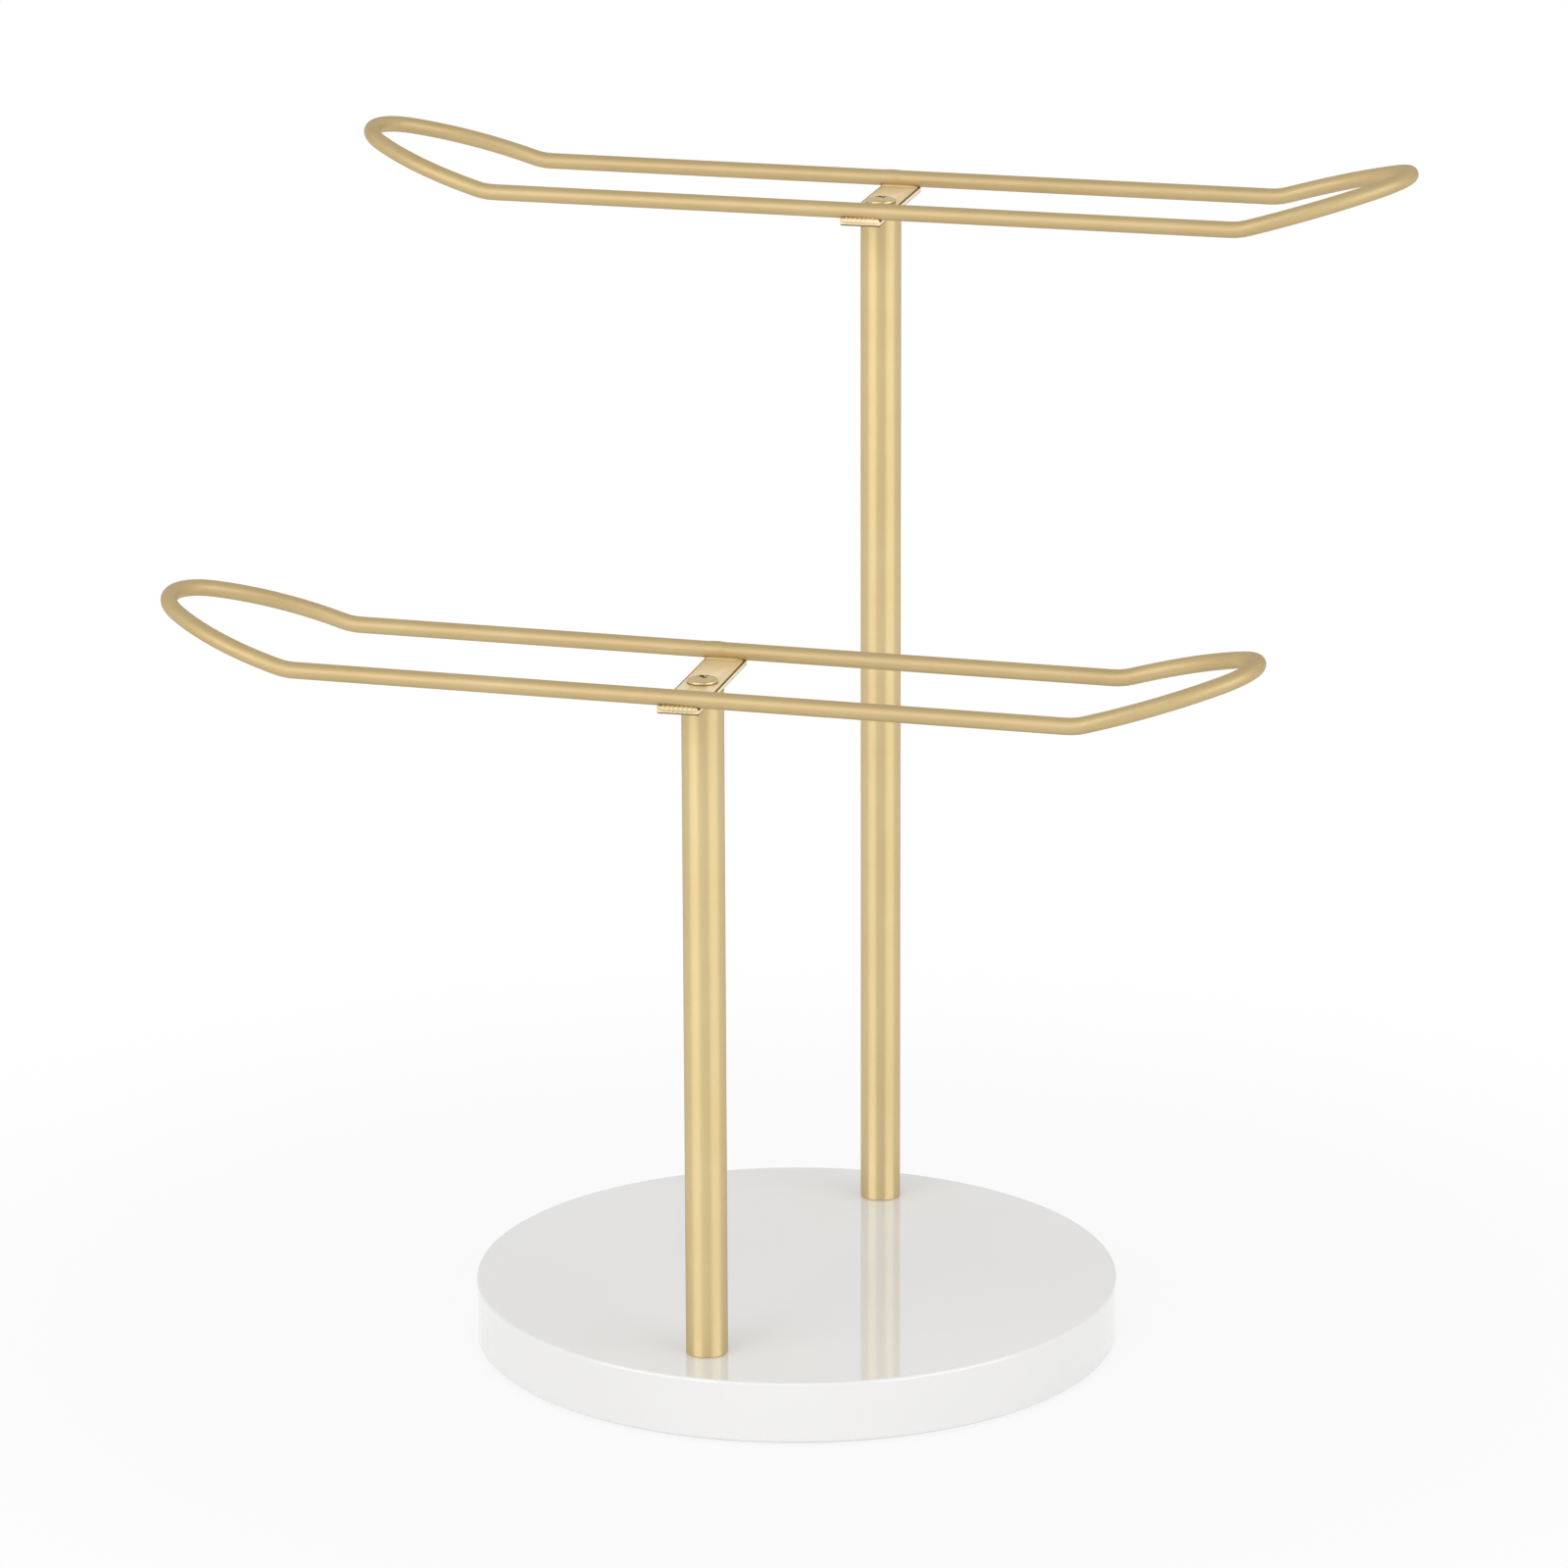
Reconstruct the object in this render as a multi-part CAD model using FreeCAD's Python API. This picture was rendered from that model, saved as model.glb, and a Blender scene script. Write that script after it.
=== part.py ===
import FreeCAD, Part
import math
import os

# Two-tier headband holder: two wire loops swivel on two tube posts over a round board.
# Millimetres, +Z up, origin on the table under the centre of the board.
# +X runs along the loops, which both point the same way, and +Y runs from the short
# post towards the tall one.

Vector = FreeCAD.Vector
UP = Vector(0, 0, 1)

# Board and its anti-slip pad
base_diameter = 200.0
base_thickness = 19.0
base_edge_radius = 0.9
base_foot_chamfer = 0.5
pad_inset = 5.0
pad_thickness = 1.0

# Posts, cut from one tube
post_diameter = 12.7
post_wall = 1.0
short_post_length = 207.0
tall_post_length = 323.0
post_rim_inset = 23.0
post_end_chamfer = 0.3

# Angle in degrees from +Y to the line of the posts
post_line_turn = 4.2

# Tapped plugs pressed into both ends of each post
plug_clearance = 0.02
top_plug_length = 18.0
foot_plug_length = 24.0
plug_chamfer = 0.5
tap_clearance = 0.05
tap_run_out = 2.0

# Wire loops
wire_diameter = 5.0
wire_spacing = 57.0
bend_half_distance = 120.0
bend_radius = 20.0
arm_tilt = 16.5
arm_straight = 4.0
nose_reach = 44.0
nose_radius = 20.0

# Cross strips under the wires, with a weld bead along each end
strip_width = 12.7
strip_thickness = 2.0
strip_overhang = 2.0
strip_corner_radius = 0.8
weld_radius = 1.0
weld_drop = 0.2
weld_inset = 0.4

# Angle in degrees by which the strips are welded off square to the wires
strip_turn = 3.4

# Swivel of each loop: the strip turns on the screw, between its head and the post
pivot_clearance = 0.08
swivel_play = 0.05

# Loop screws, with a low domed head and a cross recess
loop_screw_diameter = 4.0
loop_screw_length = 14.0
loop_head_diameter = 9.2
loop_head_height = 1.9
loop_head_rim = 0.9
recess_width = 5.6
recess_slot = 1.2
recess_depth = 1.2

# Base bolts and washers, in counterbores under the board
bolt_diameter = 6.0
bolt_length = 25.0
bolt_hole_clearance = 0.3
bolt_head_diameter = 10.0
bolt_head_height = 4.0
bolt_head_chamfer = 0.4
socket_width = 4.0
socket_depth = 2.3
washer_diameter = 18.0
washer_thickness = 1.6
washer_clearance = 0.2
counterbore_clearance = 1.0
counterbore_depth = 7.0
pad_hole_margin = 1.0

# How near an edge must be to the size and height it is looked for at
match_tolerance = 1e-4

# Levels and places
board_bottom = pad_thickness
board_top = board_bottom + base_thickness
counterbore_top = board_bottom + counterbore_depth
post_circle_radius = base_diameter / 2 - post_rim_inset
wire_radius = wire_diameter / 2
post_lengths = {"short": short_post_length, "tall": tall_post_length}
post_sides = {"short": -1, "tall": 1}
loop_posts = {"lower": "short", "upper": "tall"}


def post_top(post):
    """Height of the top end of a post."""
    return board_top + post_lengths[post]


def post_place(post, height):
    """Point on a post's axis at the given height."""
    turn = math.radians(post_line_turn)
    reach = post_sides[post] * post_circle_radius
    return Vector(reach * math.sin(turn), reach * math.cos(turn), height)


def cylinder(diameter, low, high):
    """Upright cylinder on the Z axis between two heights."""
    return Part.makeCylinder(diameter / 2, high - low, Vector(0, 0, low))


def round_edges(shape, diameter, height):
    """Round edges of a given diameter at a given height."""
    found = []
    for edge in shape.Edges:
        curve = edge.Curve
        if not isinstance(curve, Part.Circle):
            continue
        same_size = math.isclose(2 * curve.Radius, diameter, abs_tol=match_tolerance)
        if same_size and math.isclose(curve.Center.z, height, abs_tol=match_tolerance):
            found.append(edge)
    return found


def save(shape, node):
    """Write one sub-part under its node name."""
    shape.exportStep("parts/" + node + ".step")
    print(node, "solids", len(shape.Solids), "volume %.1f" % shape.Volume)


# Board: a disc with a rounded top rim and a counterbored hole under each post
def make_base_disc():
    disc = cylinder(base_diameter, board_bottom, board_top)
    disc = disc.makeFillet(base_edge_radius, round_edges(disc, base_diameter, board_top))
    foot = round_edges(disc, base_diameter, board_bottom)
    disc = disc.makeChamfer(base_foot_chamfer, foot)
    hole_diameter = bolt_diameter + 2 * bolt_hole_clearance
    counterbore_diameter = washer_diameter + 2 * counterbore_clearance
    for post in post_lengths:
        hole = cylinder(hole_diameter, board_bottom, board_top)
        counterbore = cylinder(counterbore_diameter, board_bottom, counterbore_top)
        hole = hole.fuse(counterbore)
        hole.translate(post_place(post, 0))
        disc = disc.cut(hole)
    return disc


# Pad: a thin disc with a round window at each counterbore
def make_base_pad():
    pad = cylinder(base_diameter - 2 * pad_inset, 0, pad_thickness)
    window_diameter = washer_diameter + 2 * (counterbore_clearance + pad_hole_margin)
    for post in post_lengths:
        window = cylinder(window_diameter, 0, pad_thickness)
        window.translate(post_place(post, 0))
        pad = pad.cut(window)
    return pad


# Post: a plain tube whose ends are broken on the outside
def make_post_tube(post):
    length = post_lengths[post]
    tube = cylinder(post_diameter, 0, length)
    tube = tube.cut(cylinder(post_diameter - 2 * post_wall, 0, length))
    ends = round_edges(tube, post_diameter, 0) + round_edges(tube, post_diameter, length)
    tube = tube.makeChamfer(min(post_end_chamfer, post_wall / 2), ends)
    tube.translate(post_place(post, board_top))
    return tube


# Plug: a turned cylinder with a lead-in at the end that goes in first, and a blind
# tapped hole in the other
def make_plug(length, thread_diameter, thread_depth, face_up):
    diameter = post_diameter - 2 * (post_wall + plug_clearance)
    plug = cylinder(diameter, -length, 0)
    plug = plug.makeChamfer(plug_chamfer, round_edges(plug, diameter, -length))
    tapping = cylinder(thread_diameter + 2 * tap_clearance, -thread_depth, 0)
    plug = plug.cut(tapping)
    if not face_up:
        plug.rotate(Vector(0, 0, 0), Vector(1, 0, 0), 180)
    return plug


def make_top_plug(post):
    below_strip = loop_screw_length - strip_thickness - 2 * swivel_play
    plug = make_plug(top_plug_length, loop_screw_diameter, below_strip + tap_run_out, True)
    plug.translate(post_place(post, post_top(post)))
    return plug


def make_foot_plug(post):
    in_board = base_thickness - counterbore_depth + washer_thickness
    in_plug = bolt_length - in_board
    plug = make_plug(foot_plug_length, bolt_diameter, in_plug + tap_run_out, False)
    plug.translate(post_place(post, board_top))
    return plug


# Loop screw blank: a low domed head above z = 0, on a flat rim, and a plain shank below
def make_loop_screw_blank():
    head_radius = loop_head_diameter / 2
    shank_radius = loop_screw_diameter / 2
    rise = loop_head_height - loop_head_rim
    dome_radius = (head_radius ** 2 + rise ** 2) / (2 * rise)
    half_angle = math.asin(head_radius / dome_radius) / 2
    dome_centre = loop_head_height - dome_radius
    half_way = Vector(
        dome_radius * math.sin(half_angle),
        0,
        dome_centre + dome_radius * math.cos(half_angle),
    )
    shoulder = Vector(head_radius, 0, loop_head_rim)
    crown = Vector(0, 0, loop_head_height)
    corners = [
        crown,
        Vector(0, 0, -loop_screw_length),
        Vector(shank_radius, 0, -loop_screw_length),
        Vector(shank_radius, 0, 0),
        Vector(head_radius, 0, 0),
        shoulder,
    ]
    edges = [Part.makeLine(start, end) for start, end in zip(corners, corners[1:])]
    edges.append(Part.Arc(shoulder, half_way, crown).toShape())
    profile = Part.Face(Part.Wire(edges))
    return profile.revolve(Vector(0, 0, 0), UP, 360)


# Cross recess: two slots that narrow towards their floor
def make_cross_recess(top_height):
    recess = None
    for quarter in range(2):
        rims = []
        for depth, share in ((0, 1.0), (recess_depth, 0.45)):
            half_width = recess_width * share / 2
            half_slot = recess_slot / 2
            height = top_height - depth
            corners = [
                Vector(-half_width, -half_slot, height),
                Vector(half_width, -half_slot, height),
                Vector(half_width, half_slot, height),
                Vector(-half_width, half_slot, height),
            ]
            rims.append(Part.makePolygon(corners + corners[:1]))
        slot = Part.makeLoft(rims, True, True)
        slot.rotate(Vector(0, 0, 0), UP, 90 * quarter)
        recess = slot if recess is None else recess.fuse(slot)
    return recess


def make_loop_screw(loop):
    screw = make_loop_screw_blank().cut(make_cross_recess(loop_head_height))
    seat = strip_bottom(loop) + strip_thickness + swivel_play
    screw.translate(post_place(loop_posts[loop], seat))
    return screw


# Base bolt: a low cap head with a hexagon socket, turned over to point up
def make_base_bolt(post):
    bolt = cylinder(bolt_head_diameter, 0, bolt_head_height)
    rim = round_edges(bolt, bolt_head_diameter, bolt_head_height)
    bolt = bolt.makeChamfer(bolt_head_chamfer, rim)
    bolt = bolt.fuse(cylinder(bolt_diameter, -bolt_length, 0))
    corner_radius = socket_width / 2 / math.cos(math.radians(30))
    corners = []
    for step in range(7):
        angle = math.radians(60 * step)
        corner = Vector(math.cos(angle), math.sin(angle), 0) * corner_radius
        corners.append(corner + Vector(0, 0, bolt_head_height))
    socket = Part.Face(Part.makePolygon(corners)).extrude(UP * -socket_depth)
    bolt = bolt.cut(socket)
    bolt.rotate(Vector(0, 0, 0), Vector(1, 0, 0), 180)
    bolt.translate(post_place(post, counterbore_top - washer_thickness))
    return bolt


def make_base_washer(post):
    washer = cylinder(washer_diameter, -washer_thickness, 0)
    hole_diameter = bolt_diameter + 2 * washer_clearance
    washer = washer.cut(cylinder(hole_diameter, -washer_thickness, 0))
    washer.translate(post_place(post, counterbore_top))
    return washer


# Levels of a loop: its strip just clears the post, and its wires lie on the strip
def strip_bottom(loop):
    return post_top(loop_posts[loop]) + swivel_play


def wire_level(loop):
    return strip_bottom(loop) + strip_thickness + wire_radius


# Centre line of half a loop, from the middle of the front run round to the back run
def make_half_path():
    tilt = math.radians(arm_tilt)
    half_spacing = wire_spacing / 2
    bend_reach = bend_radius * math.tan(tilt / 2)

    def on_arm(along, across):
        """Point on the tilted arm, measured along it from the bend's corner."""
        level = along * math.sin(tilt)
        return Vector(bend_half_distance + along * math.cos(tilt), across, level)

    def on_bend(share, across):
        """Point on the upward bend, from 0 at its start to 1 at its end."""
        angle = tilt * share
        start = bend_half_distance - bend_reach
        level = bend_radius * (1 - math.cos(angle))
        return Vector(start + bend_radius * math.sin(angle), across, level)

    # The end is an arch of three arcs: a small nose between two long flanks.
    nose_centre = arm_straight + nose_reach - nose_radius
    nose_offset = nose_reach - nose_radius
    flank_radius = nose_offset ** 2 + half_spacing ** 2 - nose_radius ** 2
    flank_radius /= 2 * (half_spacing - nose_radius)
    flank_angle = math.atan2(nose_offset, flank_radius - half_spacing)

    def on_flank(share, side):
        """Point on a flank, from 0 at the straight arm to 1 at the nose."""
        angle = flank_angle * share
        across = half_spacing - flank_radius * (1 - math.cos(angle))
        return on_arm(arm_straight + flank_radius * math.sin(angle), side * across)

    front = -half_spacing
    back = half_spacing
    nose = on_arm(nose_centre + nose_radius, 0)
    edges = [
        Part.makeLine(Vector(0, front, 0), on_bend(0, front)),
        Part.Arc(on_bend(0, front), on_bend(0.5, front), on_bend(1, front)).toShape(),
        Part.makeLine(on_bend(1, front), on_flank(0, -1)),
        Part.Arc(on_flank(0, -1), on_flank(0.5, -1), on_flank(1, -1)).toShape(),
        Part.Arc(on_flank(1, -1), nose, on_flank(1, 1)).toShape(),
        Part.Arc(on_flank(1, 1), on_flank(0.5, 1), on_flank(0, 1)).toShape(),
        Part.makeLine(on_flank(0, 1), on_bend(1, back)),
        Part.Arc(on_bend(1, back), on_bend(0.5, back), on_bend(0, back)).toShape(),
        Part.makeLine(on_bend(0, back), Vector(0, back, 0)),
    ]
    return Part.Wire(edges)


# Wire loop: one round wire swept round the closed path, both halves alike
def make_loop_wire(loop):
    path = make_half_path()
    start = Vector(0, -wire_spacing / 2, 0)
    section = Part.Wire(Part.makeCircle(wire_radius, start, Vector(1, 0, 0)))
    half = path.makePipeShell([section], True, False)
    swept_volume = path.Length * math.pi * wire_radius ** 2
    print("loop wire length %.1f" % (2 * path.Length), end=" ")
    print("volume against section times length %.4f" % (half.Volume / swept_volume))
    other_half = half.mirror(Vector(0, 0, 0), Vector(1, 0, 0))
    wire = half.fuse(other_half).removeSplitter()
    wire.translate(post_place(loop_posts[loop], wire_level(loop)))
    return wire


# Weld: a bead along one end of the strip, closed at both tips and hollowed by the wire
def make_weld(end, side):
    half_length = strip_width / 2 - weld_inset
    start = Vector(-half_length, side * end, -weld_drop)
    bead = Part.makeCylinder(weld_radius, 2 * half_length, start, Vector(1, 0, 0))
    bead = bead.makeChamfer(weld_radius / 2, [edge for edge in bead.Edges if edge.isClosed()])
    bead.rotate(Vector(0, 0, 0), UP, strip_turn)
    wire_start = Vector(-strip_width, side * wire_spacing / 2, wire_radius)
    wire = Part.makeCylinder(wire_radius, 2 * strip_width, wire_start, Vector(1, 0, 0))
    return bead.cut(wire)


# Cross strip: a flat bar with eased corners, drilled for the screw, top face at z = 0
def make_cross_strip(loop):
    end = wire_spacing / 2 + strip_overhang
    corner = Vector(-strip_width / 2, -end, -strip_thickness)
    strip = Part.makeBox(strip_width, 2 * end, strip_thickness, corner)
    uprights = [edge for edge in strip.Edges if edge.BoundBox.ZLength > strip_thickness / 2]
    strip = strip.makeFillet(strip_corner_radius, uprights)
    hole_diameter = loop_screw_diameter + 2 * pivot_clearance
    strip = strip.cut(cylinder(hole_diameter, -strip_thickness, 0))
    strip.rotate(Vector(0, 0, 0), UP, strip_turn)
    for side in (-1, 1):
        strip = strip.fuse(make_weld(end, side))
    place = post_place(loop_posts[loop], strip_bottom(loop) + strip_thickness)
    strip.translate(place)
    return strip


os.makedirs("parts", exist_ok=True)
save(make_base_disc(), "base_disc")
save(make_base_pad(), "base_pad")
for post_name in post_lengths:
    save(make_post_tube(post_name), post_name + "_post_tube")
    save(make_top_plug(post_name), post_name + "_post_top_plug")
    save(make_foot_plug(post_name), post_name + "_post_foot_plug")
    save(make_base_bolt(post_name), post_name + "_post_bolt")
    save(make_base_washer(post_name), post_name + "_post_washer")
for loop_name in loop_posts:
    save(make_loop_wire(loop_name), loop_name + "_loop_wire")
    save(make_cross_strip(loop_name), loop_name + "_cross_strip")
    save(make_loop_screw(loop_name), loop_name + "_loop_screw")
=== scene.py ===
import math

import bpy
from mathutils import Euler, Matrix, Quaternion, Vector


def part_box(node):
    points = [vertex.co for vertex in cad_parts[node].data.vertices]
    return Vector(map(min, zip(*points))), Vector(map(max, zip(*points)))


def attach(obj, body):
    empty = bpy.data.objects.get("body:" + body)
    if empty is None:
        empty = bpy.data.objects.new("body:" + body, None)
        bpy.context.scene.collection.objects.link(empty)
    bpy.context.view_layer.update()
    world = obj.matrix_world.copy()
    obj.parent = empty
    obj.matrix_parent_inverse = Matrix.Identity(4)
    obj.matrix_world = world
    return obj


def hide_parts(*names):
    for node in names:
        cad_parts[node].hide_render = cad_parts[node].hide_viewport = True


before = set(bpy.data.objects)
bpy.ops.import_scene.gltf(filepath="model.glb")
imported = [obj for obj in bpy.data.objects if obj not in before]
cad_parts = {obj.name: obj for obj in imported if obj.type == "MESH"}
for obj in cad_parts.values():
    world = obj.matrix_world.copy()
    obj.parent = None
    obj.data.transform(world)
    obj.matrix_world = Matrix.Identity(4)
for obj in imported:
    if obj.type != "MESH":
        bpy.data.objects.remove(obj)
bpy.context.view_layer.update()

# Metres and degrees, in the frame of the stand: +Z up, +X along the loops, the short post
# at -Y.
MM = 0.001

# Loop screws: low domed head with a rounded rim and a cross recess
screw_sides = 64
screw_shank_radius = 2.0 * MM
screw_head_height = 1.9 * MM
screw_foot_height = 0.3 * MM
screw_rim_height = 0.9 * MM
screw_rim_rounding = 0.35 * MM
screw_rim_segments = 5
screw_dome_rings = 10
screw_recess_width = 5.8 * MM
screw_recess_slot = 1.5 * MM
screw_recess_depth = 1.2 * MM
screw_recess_turn = 45
screw_recess_floor = (0.42, 0.7)
screw_edge_easing = 0.09 * MM
screw_edge_segments = 2
screw_edge_angle = 40
screw_smooth_angle = 35

# Wires and cross strips
wire_radius = 2.5 * MM
wire_half_spacing = 28.5 * MM
strip_half_width = 6.35 * MM
strip_half_length = 30.5 * MM
strip_thickness = 2.0 * MM
strip_corner = 0.8 * MM
strip_corner_segments = 6
strip_edge = 0.5 * MM
strip_edge_segments = 3
strip_edge_angle = 50
strip_hole_radius = 2.08 * MM
strip_hole_sides = 48
strip_smooth_angle = 30
strip_turn = 3.4

# Weld beads along the ends of the strips. The ripple runs from its valley over its crest.
bead_radius = 1.0 * MM
bead_length = 12.4 * MM
bead_sides = 16
bead_ripples = 9
bead_ripple = (0.72, 1.0, 1.12, 1.0)
bead_end_loss = 0.65
bead_end_power = 8
bead_drop = 0.2 * MM

# Solder fillets in the corners between the strips and the wires
fillet_radius = 0.8 * MM
fillet_length = 12.2 * MM
fillet_sides = 24
fillet_rings = 8
fillet_end_loss = 0.6
fillet_end_power = 6
fillet_inset = 1.75 * MM
fillet_rise = 0.15 * MM

# Ground joint of each wire
joint_length = 7.0 * MM
joint_sides = 32
joint_rings = 12
joint_clearance = 0.02 * MM
joint_swell = 0.2 * MM
joint_swell_power = 1.5
joint_waves = (0.8, 1.1, 0.95)
joint_offset = -4.3 * MM

# Shading of the beads, fillets and joints
weld_smooth_angle = 60

# Picking: how far a normal rises on a face that looks up, and on one that looks sideways
# at most, and how near a corner lies to the level that it is picked by
looks_up = 0.9
looks_sideways = 0.5
near = 0.01 * MM

# Gold plating: the deep and the light tone of each finish, and its tone seen edge-on
gold_deep = (0.695, 0.54, 0.27)
gold_light = (0.725, 0.575, 0.305)
gold_edge = (0.50, 0.44, 0.32)
wire_deep = (0.56, 0.425, 0.21)
wire_light = (0.60, 0.46, 0.24)
wire_edge = (0.40, 0.33, 0.21)
# Strip: much paler and brighter than the same plating on the posts, a painted sheen for the
# bright reflection on its top
strip_painted_sheen_deep = (0.95, 0.77, 0.46)
strip_painted_sheen_light = (0.98, 0.81, 0.52)
# Painted shade: a dark line along the eased edges of the strips
edge_shade_deep = (0.21, 0.14, 0.065)
edge_shade_light = (0.27, 0.185, 0.095)
# Painted shade in the cross recesses of the screws and around the foot of their heads
recess_shade_deep = (0.27, 0.195, 0.10)
recess_shade_light = (0.34, 0.25, 0.13)

# Gold plating: its clear coat, its soft clouds and its polishing lines
clear_coat_ior = 1.5
gold_coat_roughness = 0.16
gold_cloud_scale = 45.0
gold_line_scale = 60.0
gold_line_detail = 6.0
polishing_turn = 0.25

# White lacquer: soft clouds, and an orange peel much finer than they are
lacquer_tones = ((0.80, 0.796, 0.787), (0.83, 0.826, 0.818))
lacquer_coat = 0.75
lacquer_coat_roughness = 0.04
lacquer_roughness = (0.04, 0.07)
lacquer_cloud_scale = 9.0
peel_scale = 420.0
peel_detail = 2.0
peel_depth = 0.004 * MM

# Zinc-plated steel, under the board and in the ends of the posts
zinc_tones = ((0.55, 0.57, 0.60), (0.68, 0.69, 0.70))
zinc_roughness = (0.28, 0.42)
zinc_scale = 300.0

# Foam of the pad
foam_tones = ((0.012, 0.012, 0.014), (0.05, 0.05, 0.055))
foam_roughness = 0.9
foam_scale = 1500.0
foam_detail = 3.0
foam_depth = 0.15 * MM

# Patterns: the part of a noise that is spread over a finish, and an even stretch
pattern_start = 0.3
pattern_end = 0.7
even = (1, 1, 1)

# Floor: it shows white, a little less within these distances of the middle, where the
# shadow of the stand lies
floor_size = 60
floor_tone = (0.78, 0.78, 0.78)
floor_glow_share = 0.86
floor_shadow_start = 0.12
floor_shadow_end = 0.45

# Room: brightness at heights from straight down at 0 to straight up at 1. In front of the
# stand a share of it is left, and the turn is the cosine at which that share is reached.
room_levels = ((0.5, 0.2), (0.56, 0.82), (0.70, 0.84), (0.83, 0.80), (1.0, 0.54))
room_front_share = 0.8
room_turn = 0.6

# Softboxes: name, azimuth from the camera's, distance, height, width, tallness, power and
# the height that they face
softboxes = (
    ("left_softbox", -51, 3.0, 1.1, 2.6, 2.0, 36, 1.1),
    ("right_softbox", 55, 3.0, 1.1, 3.0, 2.0, 38, 1.1),
    ("front_fill", -20, 1.8, 1.9, 1.6, 1.6, 8.0, 0.2),
)

# Camera
camera_azimuth = 16.55
camera_elevation = 15.54
camera_roll = -0.20
camera_distance = 2.029
camera_lens = 152.0
camera_sensor = 36
camera_nearest = 0.05
camera_farthest = 100
camera_aim = Vector((-3.28 * MM, -0.98 * MM, 177.9 * MM))


def clear_selection():
    """Nothing selected and nothing active, so that an operator acts on new work only."""
    bpy.ops.object.select_all(action="DESELECT")
    bpy.context.view_layer.objects.active = None


def select_only(piece):
    """One piece selected and active."""
    clear_selection()
    piece.select_set(True)
    bpy.context.view_layer.objects.active = piece


def take_new(name):
    """Name the piece that an operator has just added, and its mesh."""
    piece = bpy.context.object
    piece.name = name
    piece.data.name = name
    return piece


def settle(piece):
    """Put a piece's place, turn and size into its mesh."""
    select_only(piece)
    bpy.ops.object.transform_apply(location=True, rotation=True, scale=True)


def pick(piece, kind, wanted):
    """Enter edit mode on a piece with only the wanted parts of one kind selected."""
    select_only(piece)
    bpy.ops.object.mode_set(mode="EDIT")
    bpy.ops.mesh.select_mode(type=kind)
    bpy.ops.mesh.select_all(action="DESELECT")
    bpy.ops.object.mode_set(mode="OBJECT")
    mesh = piece.data
    for part in {"VERT": mesh.vertices, "EDGE": mesh.edges, "FACE": mesh.polygons}[kind]:
        part.select = wanted(part)
    bpy.ops.object.mode_set(mode="EDIT")


def pick_faces(piece, wanted):
    """Pick faces by a test on the face."""
    pick(piece, "FACE", wanted)


def pick_vertices(piece, wanted):
    """Pick corners by a test on their place."""
    pick(piece, "VERT", lambda vertex: wanted(vertex.co))


def pick_edges(piece, wanted):
    """Pick edges by a test on the places of their two ends."""

    def both_ends(edge):
        return wanted(*(piece.data.vertices[end].co for end in edge.vertices))

    pick(piece, "EDGE", both_ends)


def leave_edit():
    """Back from edit mode, with the changes in the mesh."""
    bpy.ops.object.mode_set(mode="OBJECT")


def apply_modifier(piece, kind, **settings):
    """Add a modifier with the given settings and apply it at once."""
    select_only(piece)
    modifier = piece.modifiers.new(kind.title(), kind)
    for setting, value in settings.items():
        setattr(modifier, setting, value)
    bpy.ops.object.modifier_apply(modifier=modifier.name)


def cut(piece, cutter, **settings):
    """Cut a cutter's shape out of a piece and put the cutter away."""
    apply_modifier(
        piece, "BOOLEAN", operation="DIFFERENCE", object=cutter, solver="EXACT", **settings
    )
    bpy.data.objects.remove(cutter)


def smooth(piece, degrees):
    """Shade a piece smooth, with creases where it turns by more than an angle."""
    select_only(piece)
    bpy.ops.object.shade_smooth_by_angle(angle=math.radians(degrees))


def copy_piece(piece, name, move):
    """Copy of a piece with its own mesh, moved within that mesh."""
    twin = piece.copy()
    twin.data = piece.data.copy()
    twin.name = name
    twin.data.name = name
    bpy.context.scene.collection.objects.link(twin)
    twin.data.transform(move)
    return twin


def axis_of(node):
    """Upright axis of a CAD node, from the middle of its box."""
    low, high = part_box(node)
    return (low + high) / 2


# Loop screws
def make_recess_cutter(centre, top, quarter, finish):
    """One arm of the cross recess: a bar that narrows towards its floor."""
    clear_selection()
    bpy.ops.mesh.primitive_cube_add(size=1, location=(centre.x, centre.y, top))
    cutter = take_new("recess_cutter")
    cutter.scale = (screw_recess_width, screw_recess_slot, 2 * screw_recess_depth)
    settle(cutter)
    pick_vertices(cutter, lambda corner: corner.z < top)
    bpy.ops.transform.resize(
        value=(*screw_recess_floor, 1), center_override=(centre.x, centre.y, top)
    )
    leave_edit()
    turn = Matrix.Rotation(math.radians(screw_recess_turn + 90 * quarter), 4, "Z")
    place = Matrix.Translation((centre.x, centre.y, 0))
    cutter.data.transform(place @ turn @ place.inverted())
    # The recess walls take the cutter's finish, a painted shade.
    cutter.data.materials.append(finish)
    return cutter


def screw_head_outline(head_radius):
    """Radius and height above the seat of each ring: underhead, foot, rim and dome."""
    rise = screw_head_height - screw_rim_height
    dome_radius = (head_radius ** 2 + rise ** 2) / (2 * rise)
    full_angle = math.asin(head_radius / dome_radius)
    outline = [(head_radius, level) for level in (0.0, screw_foot_height, screw_rim_height)]
    for ring in range(1, screw_dome_rings + 1):
        angle = full_angle * (1 - ring / (screw_dome_rings + 0.5))
        level = screw_head_height - dome_radius * (1 - math.cos(angle))
        outline.append((dome_radius * math.sin(angle), level))
    return outline


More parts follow.
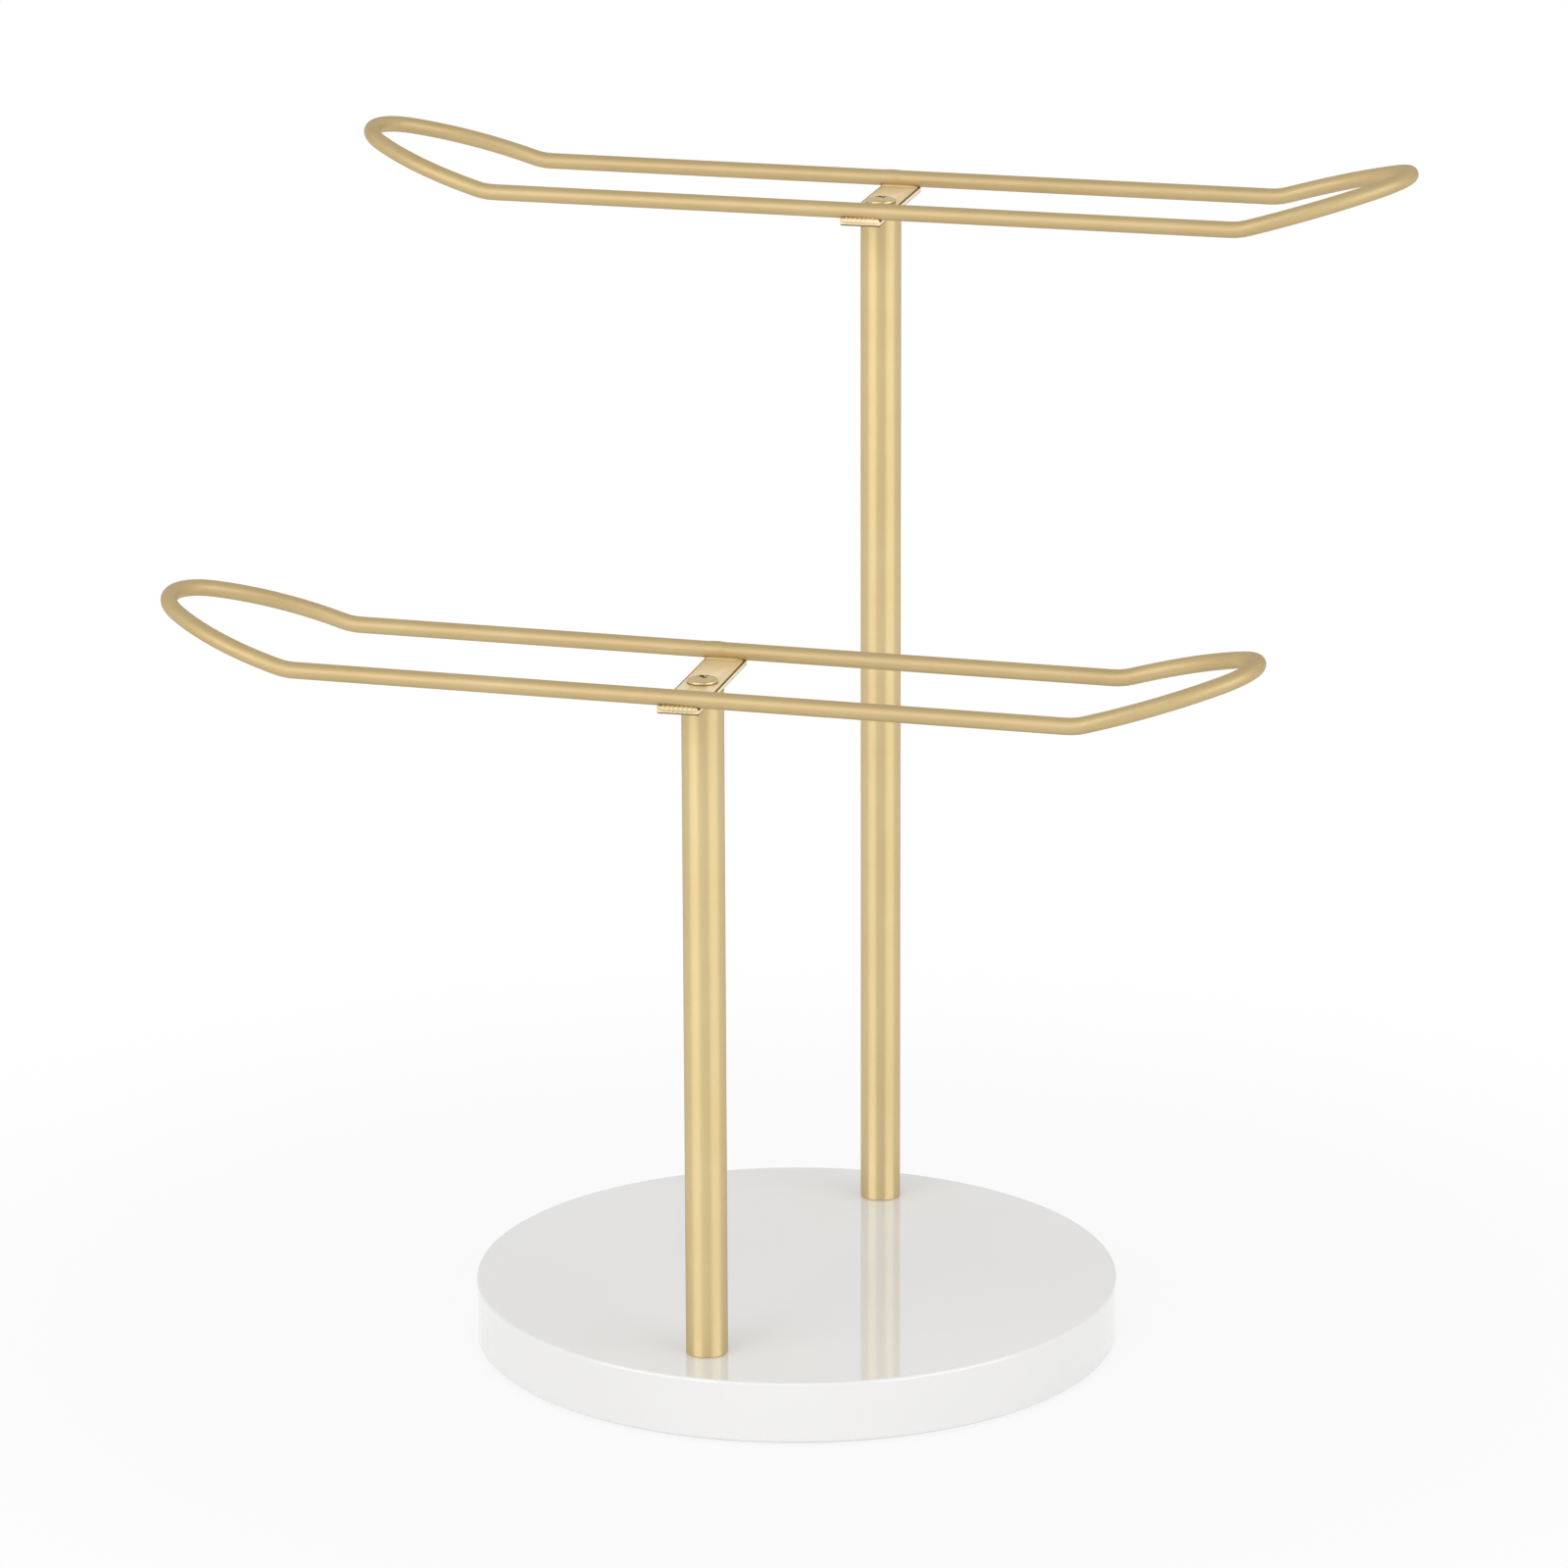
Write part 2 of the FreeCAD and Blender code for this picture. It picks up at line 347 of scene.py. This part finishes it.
def make_loop_screw(loop, finish, painted_shade_finish):
    """Screw drawn up from its shank ring by ring, with a cross recess; the recess and the foot
    of the head take a painted shade.
    """
    node = loop + "_loop_screw"
    low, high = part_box(node)
    centre = axis_of(node)
    seat = high.z - screw_head_height
    clear_selection()
    bpy.ops.mesh.primitive_cylinder_add(
        vertices=screw_sides,
        radius=screw_shank_radius,
        depth=seat - low.z,
        location=(centre.x, centre.y, (seat + low.z) / 2),
    )
    screw = take_new(loop + "_domed_screw")
    settle(screw)
    pick_faces(screw, lambda face: face.normal.z > looks_up)
    radius, level = screw_shank_radius, 0.0
    for next_radius, next_level in screw_head_outline((high.x - low.x) / 2):
        step = next_level - level
        share = next_radius / radius
        bpy.ops.mesh.extrude_region_move(TRANSFORM_OT_translate={"value": (0, 0, step)})
        bpy.ops.transform.resize(
            value=(share, share, 1), center_override=(centre.x, centre.y, seat)
        )
        radius, level = next_radius, next_level
    leave_edit()
    rim = seat + screw_rim_height
    pick_edges(screw, lambda a, b: max(abs(a.z - rim), abs(b.z - rim)) < near)
    bpy.ops.mesh.bevel(
        offset=screw_rim_rounding, segments=screw_rim_segments, affect="EDGES"
    )
    leave_edit()
    screw.data.materials.append(finish)
    for quarter in range(2):
        cutter = make_recess_cutter(centre, high.z, quarter, painted_shade_finish)
        cut(screw, cutter, material_mode="TRANSFER")
    # The foot of the head takes the recess's painted shade: a dark ring where the head meets
    # the strip.
    for face in screw.data.polygons:
        in_painted_shade_foot = face.center.z < seat + screw_foot_height
        if in_painted_shade_foot and abs(face.normal.z) < looks_sideways:
            face.material_index = 1
    apply_modifier(
        screw, "BEVEL", width=screw_edge_easing, segments=screw_edge_segments,
        limit_method="ANGLE", angle_limit=math.radians(screw_edge_angle),
    )
    smooth(screw, screw_smooth_angle)
    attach(screw, "stand")
    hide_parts(node)


# Cross strips and their welds
def strip_seat(loop):
    """Where a strip meets its loop: on the loop's axis, level with the wires' underside."""
    centre = axis_of(loop + "_cross_strip")
    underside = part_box(loop + "_loop_wire")[0].z
    return Vector((centre.x, centre.y, underside))


def turned_place(loop):
    """Place of a strip and its weld beads, turned off square to the wires."""
    turn = Matrix.Rotation(math.radians(strip_turn), 4, "Z")
    return Matrix.Translation(strip_seat(loop)) @ turn


def make_cross_strip(loop, finish, painted_shade_edge_finish):
    """Flat bar sheared to length, its corners and edges eased, drilled for the screw."""
    clear_selection()
    bpy.ops.mesh.primitive_cube_add(size=2, location=(0, 0, -strip_thickness / 2))
    strip = take_new(loop + "_flat_strip")
    strip.scale = (strip_half_width, strip_half_length, strip_thickness / 2)
    settle(strip)
    pick_edges(strip, lambda a, b: abs(a.z - b.z) > strip_thickness / 2)
    bpy.ops.mesh.bevel(offset=strip_corner, segments=strip_corner_segments, affect="EDGES")
    leave_edit()
    clear_selection()
    bpy.ops.mesh.primitive_cylinder_add(
        vertices=strip_hole_sides, radius=strip_hole_radius, depth=3 * strip_thickness
    )
    cut(strip, take_new("strip_drill"))
    strip.data.materials.append(finish)
    # The eased edges take the second finish, a painted shade that darkens every edge of the
    # strip.
    strip.data.materials.append(painted_shade_edge_finish)
    apply_modifier(
        strip, "BEVEL", width=strip_edge, segments=strip_edge_segments,
        limit_method="ANGLE", angle_limit=math.radians(strip_edge_angle),
        use_clamp_overlap=False, material=1,
    )
    strip.data.transform(turned_place(loop))
    smooth(strip, strip_smooth_angle)
    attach(strip, loop + "_loop")
    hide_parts(loop + "_cross_strip")


def make_ringed_bar(name, radius, length, sides, rings, place, girth, finish):
    """Round bar along X in rings, each ring sized by its share of the bar's girth."""
    clear_selection()
    bpy.ops.mesh.primitive_cylinder_add(
        vertices=sides,
        radius=radius,
        depth=length,
        location=place,
        rotation=(0, math.radians(90), 0),
    )
    bar = take_new(name)
    settle(bar)
    pick_edges(bar, lambda a, b: abs(a.x - b.x) > length / 2)
    bpy.ops.mesh.subdivide(number_cuts=rings - 1)
    leave_edit()
    spacing = length / rings
    for ring in range(rings + 1):
        along = place.x - length / 2 + ring * spacing
        share = girth(ring)
        pick_vertices(bar, lambda corner: abs(corner.x - along) < spacing / 4)
        bpy.ops.transform.resize(
            value=(1, share, share), center_override=(along, place.y, place.z)
        )
        leave_edit()
    apply_modifier(bar, "SUBSURF", levels=1, render_levels=1)
    smooth(bar, weld_smooth_angle)
    bar.data.materials.append(finish)
    return bar


def tapered(along, loss, power):
    """Girth of a bar that thins at both ends, at a point from 0 to 1 along it."""
    return 1 - loss * abs(2 * along - 1) ** power


def make_weld_bead(finish):
    """Bead along X at the origin, with the stacked ripples that a weld leaves."""
    steps = len(bead_ripple)
    rings = steps * bead_ripples

    def girth(ring):
        return bead_ripple[ring % steps] * tapered(ring / rings, bead_end_loss, bead_end_power)

    return make_ringed_bar(
        "weld_bead", bead_radius, bead_length, bead_sides, rings, Vector(), girth, finish
    )


def place_weld_beads(bead, loop):
    """A bead along each end of a strip, against the outer side of the wire on it."""
    for side, side_name in ((-1, "front"), (1, "back")):
        move = Matrix.Translation((0, side * strip_half_length, -bead_drop))
        weld = copy_piece(bead, loop + "_weld_" + side_name, turned_place(loop) @ move)
        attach(weld, loop + "_loop")


def make_solder_fillet(loop, side, side_name, finish):
    """Smooth run of solder in the corner between a strip and the inner side of a wire."""
    across = side * (wire_half_spacing - fillet_inset)
    skew = -across * math.tan(math.radians(strip_turn))
    fillet = make_ringed_bar(
        loop + "_fillet_" + side_name, fillet_radius, fillet_length, fillet_sides,
        fillet_rings, strip_seat(loop) + Vector((skew, across, fillet_rise)),
        lambda ring: tapered(ring / fillet_rings, fillet_end_loss, fillet_end_power), finish,
    )
    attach(fillet, loop + "_loop")


def make_wire_joint(loop, finish):
    """Ground butt weld where the two ends of the wire meet, over the back of the strip."""

    def girth(ring):
        swell = joint_swell * math.sin(math.pi * ring / joint_rings) ** joint_swell_power
        return 1 + swell * joint_waves[ring % len(joint_waves)] / wire_radius

    joint = make_ringed_bar(
        loop + "_wire_joint", wire_radius - joint_clearance, joint_length, joint_sides,
        joint_rings, strip_seat(loop) + Vector((joint_offset, wire_half_spacing, wire_radius)),
        girth, finish,
    )
    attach(joint, loop + "_loop")


# Finishes
def new_finish(name):
    """Plain node material: its nodes, links and main shader."""
    material = bpy.data.materials.new(name)
    material.use_nodes = True
    tree = material.node_tree
    return material, tree.nodes, tree.links, tree.nodes["Principled BSDF"]


def grain(nodes, links, stretch, scale, detail=4.0):
    """Noise on object coordinates, drawn out along the axes with a small stretch."""
    place = nodes.new("ShaderNodeTexCoord")
    mapping = nodes.new("ShaderNodeMapping")
    mapping.inputs["Scale"].default_value = stretch
    noise = nodes.new("ShaderNodeTexNoise")
    noise.inputs["Scale"].default_value = scale
    noise.inputs["Detail"].default_value = detail
    links.new(place.outputs["Object"], mapping.inputs["Vector"])
    links.new(mapping.outputs["Vector"], noise.inputs["Vector"])
    return noise.outputs["Fac"]


def between(nodes, links, value, low, high, start, end, kind="LINEAR"):
    """A number that goes from low to high while a value goes from start to end."""
    spread = nodes.new("ShaderNodeMapRange")
    spread.interpolation_type = kind
    spread.inputs["From Min"].default_value = start
    spread.inputs["From Max"].default_value = end
    spread.inputs["To Min"].default_value = low
    spread.inputs["To Max"].default_value = high
    links.new(value, spread.inputs["Value"])
    return spread.outputs["Result"]


def roughen(nodes, links, shader, pattern, roughness):
    """Roughness that follows a pattern, from the lower value to the higher."""
    rough = between(nodes, links, pattern, *roughness, pattern_start, pattern_end)
    links.new(rough, shader.inputs["Roughness"])


def tint(nodes, links, shader, pattern, tones):
    """Base colour that follows a pattern, from the deep tone to the light one."""
    ramp = nodes.new("ShaderNodeValToRGB")
    stops = ramp.color_ramp.elements
    for stop, position, tone in zip(stops, (pattern_start, pattern_end), tones):
        stop.position = position
        stop.color = (*tone, 1)
    links.new(pattern, ramp.inputs["Fac"])
    links.new(ramp.outputs["Color"], shader.inputs["Base Color"])


def bump(nodes, links, shader, height, distance):
    """Relief of the given depth on a shader."""
    relief = nodes.new("ShaderNodeBump")
    relief.inputs["Strength"].default_value = 1.0
    relief.inputs["Distance"].default_value = distance
    links.new(height, relief.inputs["Height"])
    links.new(relief.outputs["Normal"], shader.inputs["Normal"])


def make_satin_gold(
    name, stretch, roughness, tones, edge=gold_edge,
    metallic=0.5, coat=0.35, anisotropy=0.0, relief=0.002 * MM,
):
    """Satin champagne gold plating, with fine polishing lines along the short stretch."""
    material, nodes, links, shader = new_finish(name)
    shader.inputs["Metallic"].default_value = metallic
    shader.inputs["Specular Tint"].default_value = (*edge, 1)
    shader.inputs["Coat Weight"].default_value = coat
    shader.inputs["Coat IOR"].default_value = clear_coat_ior
    shader.inputs["Coat Roughness"].default_value = gold_coat_roughness
    clouds = grain(nodes, links, even, gold_cloud_scale)
    tint(nodes, links, shader, clouds, tones)
    lines = grain(nodes, links, stretch, gold_line_scale, gold_line_detail)
    roughen(nodes, links, shader, lines, roughness)
    if anisotropy:
        shader.inputs["Anisotropic"].default_value = anisotropy
        shader.inputs["Anisotropic Rotation"].default_value = polishing_turn
        around = nodes.new("ShaderNodeTangent")
        around.direction_type = "RADIAL"
        around.axis = "Z"
        links.new(around.outputs["Tangent"], shader.inputs["Tangent"])
    bump(nodes, links, shader, lines, relief)
    return material


def make_white_lacquer():
    """White lacquer over fibreboard: smooth, with a very faint orange peel."""
    material, nodes, links, shader = new_finish("white_lacquer")
    clouds = grain(nodes, links, even, lacquer_cloud_scale)
    tint(nodes, links, shader, clouds, lacquer_tones)
    shader.inputs["IOR"].default_value = clear_coat_ior
    shader.inputs["Coat Weight"].default_value = lacquer_coat
    shader.inputs["Coat IOR"].default_value = clear_coat_ior
    shader.inputs["Coat Roughness"].default_value = lacquer_coat_roughness
    roughen(nodes, links, shader, clouds, lacquer_roughness)
    peel = grain(nodes, links, even, peel_scale, peel_detail)
    bump(nodes, links, shader, peel, peel_depth)
    return material


def make_zinc():
    """Zinc plating, mottled by its fine crystals."""
    material, nodes, links, shader = new_finish("zinc_steel")
    shader.inputs["Metallic"].default_value = 1.0
    crystals = grain(nodes, links, even, zinc_scale)
    tint(nodes, links, shader, crystals, zinc_tones)
    roughen(nodes, links, shader, crystals, zinc_roughness)
    return material


def make_pad_foam():
    """Black closed-cell foam."""
    material, nodes, links, shader = new_finish("pad_foam")
    cells = grain(nodes, links, even, foam_scale, foam_detail)
    tint(nodes, links, shader, cells, foam_tones)
    shader.inputs["Roughness"].default_value = foam_roughness
    bump(nodes, links, shader, cells, foam_depth)
    return material


def dress(node, finish):
    """Give a CAD node its finish."""
    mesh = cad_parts[node].data
    mesh.materials.clear()
    mesh.materials.append(finish)


# Studio
def combine(nodes, links, operation, first, second):
    """One number from two, such as the larger of them or their product."""
    result = nodes.new("ShaderNodeMath")
    result.operation = operation
    links.new(first, result.inputs[0])
    links.new(second, result.inputs[1])
    return result.outputs["Value"]


def make_floor():
    """Pale floor that shows white, and takes the soft shadow of the stand."""
    clear_selection()
    bpy.ops.mesh.primitive_plane_add(size=floor_size)
    floor = take_new("studio_floor")
    material, nodes, links, shader = new_finish("studio_floor")
    nodes.remove(shader)
    matt = nodes.new("ShaderNodeBsdfDiffuse")
    matt.inputs["Color"].default_value = (*floor_tone, 1)
    glow = nodes.new("ShaderNodeEmission")
    glow.inputs["Color"].default_value = (1, 1, 1, 1)
    glow.inputs["Strength"].default_value = 1.0
    seen = nodes.new("ShaderNodeLightPath").outputs
    shows = combine(nodes, links, "MAXIMUM", seen["Is Camera Ray"], seen["Is Glossy Ray"])
    shows = combine(nodes, links, "MAXIMUM", shows, seen["Is Transmission Ray"])
    place = nodes.new("ShaderNodeTexCoord")
    away = nodes.new("ShaderNodeVectorMath")
    away.operation = "LENGTH"
    links.new(place.outputs["Object"], away.inputs[0])
    share = between(
        nodes, links, away.outputs["Value"], floor_glow_share, 1.0,
        floor_shadow_start, floor_shadow_end, "SMOOTHSTEP",
    )
    mix = nodes.new("ShaderNodeMixShader")
    links.new(combine(nodes, links, "MULTIPLY", shows, share), mix.inputs["Fac"])
    links.new(matt.outputs["BSDF"], mix.inputs[1])
    links.new(glow.outputs["Emission"], mix.inputs[2])
    links.new(mix.outputs["Shader"], nodes["Material Output"].inputs["Surface"])
    floor.data.materials.append(material)


def make_room():
    """Plain room light: dim at the horizon, pale above it and a soft grey overhead."""
    world = bpy.data.worlds.new("room")
    bpy.context.scene.world = world
    world.use_nodes = True
    nodes = world.node_tree.nodes
    links = world.node_tree.links
    background = nodes["Background"].inputs
    direction = nodes.new("ShaderNodeTexCoord").outputs["Generated"]
    split = nodes.new("ShaderNodeSeparateXYZ")
    links.new(direction, split.inputs["Vector"])
    ramp = nodes.new("ShaderNodeValToRGB")
    stops = ramp.color_ramp.elements
    for position, level in room_levels[len(stops):]:
        stops.new(position)
    for stop, (position, level) in zip(stops, room_levels):
        stop.position = position
        stop.color = (level, level, level, 1)
    height = between(nodes, links, split.outputs["Z"], 0.0, 1.0, -1.0, 1.0)
    links.new(height, ramp.inputs["Fac"])
    links.new(ramp.outputs["Color"], background["Color"])
    behind = nodes.new("ShaderNodeVectorMath")
    behind.operation = "DOT_PRODUCT"
    angle = math.radians(camera_azimuth)
    behind.inputs[1].default_value = (-math.sin(angle), math.cos(angle), 0)
    links.new(direction, behind.inputs[0])
    strength = between(
        nodes, links, behind.outputs["Value"], room_front_share, 1.0,
        -room_turn, room_turn, "SMOOTHSTEP",
    )
    links.new(strength, background["Strength"])


def make_softbox(name, azimuth, distance, height, width, tallness, power, aim_height):
    """Area lamp at an azimuth from the camera's, facing the axis of the stand."""
    lamp = bpy.data.lights.new(name, "AREA")
    lamp.shape = "RECTANGLE"
    lamp.size = width
    lamp.size_y = tallness
    lamp.energy = power
    softbox = bpy.data.objects.new(name, lamp)
    bpy.context.scene.collection.objects.link(softbox)
    angle = math.radians(camera_azimuth + azimuth)
    place = Vector((math.sin(angle) * distance, -math.cos(angle) * distance, height))
    softbox.location = place
    aim = Vector((0, 0, aim_height)) - place
    softbox.rotation_euler = aim.to_track_quat("-Z", "Y").to_euler()


def make_camera():
    """Camera at the picture's own angle, turned about its aim and rolled by a hair."""
    camera_data = bpy.data.cameras.new("camera")
    camera_data.lens = camera_lens
    camera_data.sensor_width = camera_sensor
    camera_data.clip_start = camera_nearest
    camera_data.clip_end = camera_farthest
    camera = bpy.data.objects.new("camera", camera_data)
    bpy.context.scene.collection.objects.link(camera)
    tilt = Euler((math.radians(90 - camera_elevation), 0, math.radians(camera_azimuth)))
    roll = Quaternion((0, 0, 1), math.radians(camera_roll))
    turn = tilt.to_quaternion() @ roll
    camera.rotation_mode = "QUATERNION"
    camera.rotation_quaternion = turn
    camera.location = camera_aim + turn @ Vector((0, 0, camera_distance))
    bpy.context.scene.camera = camera


post_gold = make_satin_gold(
    "satin_gold_post", stretch=(0.6, 0.6, 90), roughness=(0.42, 0.48),
    tones=(gold_deep, gold_light), metallic=0.7, anisotropy=0.85,
)
wire_gold = make_satin_gold(
    "satin_gold_wire", stretch=(0.5, 40, 40), roughness=(0.49, 0.55),
    tones=(wire_deep, wire_light), edge=wire_edge, metallic=0.55, coat=0.2,
    relief=0.0005 * MM,
)
# Painted sheen: the strips are the same plating as the posts, made paler and brighter
strip_painted_sheen_gold = make_satin_gold(
    "satin_gold_strip_painted_sheen", stretch=(14, 0.8, 14), roughness=(0.42, 0.50),
    tones=(strip_painted_sheen_deep, strip_painted_sheen_light), edge=strip_painted_sheen_light, metallic=0.3, coat=0.5,
)
# Painted shade along the eased edges of the strips
strip_edge_painted_shade = make_satin_gold(
    "strip_edge_painted_shade", stretch=(6, 6, 6), roughness=(0.5, 0.6),
    tones=(edge_shade_deep, edge_shade_light), edge=edge_shade_light, metallic=0.5, coat=0.0,
)
# Painted shade for the screw recesses and the foot of the screw heads
recess_and_foot_painted_shade = make_satin_gold(
    "recess_and_foot_painted_shade", stretch=(6, 6, 6), roughness=(0.34, 0.42),
    tones=(recess_shade_deep, recess_shade_light), edge=recess_shade_light, metallic=0.9, coat=0.0,
)
# The light tone of the welds is the strips' painted sheen, painted glints on the ripples
weld_gold = make_satin_gold(
    "satin_gold_weld", stretch=(16, 16, 16), roughness=(0.16, 0.32),
    tones=(gold_deep, strip_painted_sheen_light), coat=1.0, relief=0.05 * MM,
)
screw_gold = make_satin_gold(
    "satin_gold_screw", stretch=(6, 6, 6), roughness=(0.18, 0.25),
    tones=(gold_deep, gold_light), metallic=0.8, coat=1.0,
)
white_lacquer = make_white_lacquer()
zinc_steel = make_zinc()
pad_foam = make_pad_foam()

dress("base_disc", white_lacquer)
dress("base_pad", pad_foam)
for post in ("short", "tall"):
    dress(post + "_post_tube", post_gold)
    for piece in ("top_plug", "foot_plug", "bolt", "washer"):
        dress(post + "_post_" + piece, zinc_steel)
weld_bead = make_weld_bead(weld_gold)
for loop in ("lower", "upper"):
    dress(loop + "_loop_wire", wire_gold)
    make_cross_strip(loop, strip_painted_sheen_gold, strip_edge_painted_shade)
    make_loop_screw(loop, screw_gold, recess_and_foot_painted_shade)
    place_weld_beads(weld_bead, loop)
    make_solder_fillet(loop, -1, "front", wire_gold)
    make_solder_fillet(loop, 1, "back", wire_gold)
    make_wire_joint(loop, wire_gold)
bpy.data.objects.remove(weld_bead)

make_floor()
make_room()
for softbox in softboxes:
    make_softbox(*softbox)
make_camera()
bpy.context.scene.view_settings.view_transform = "Standard"
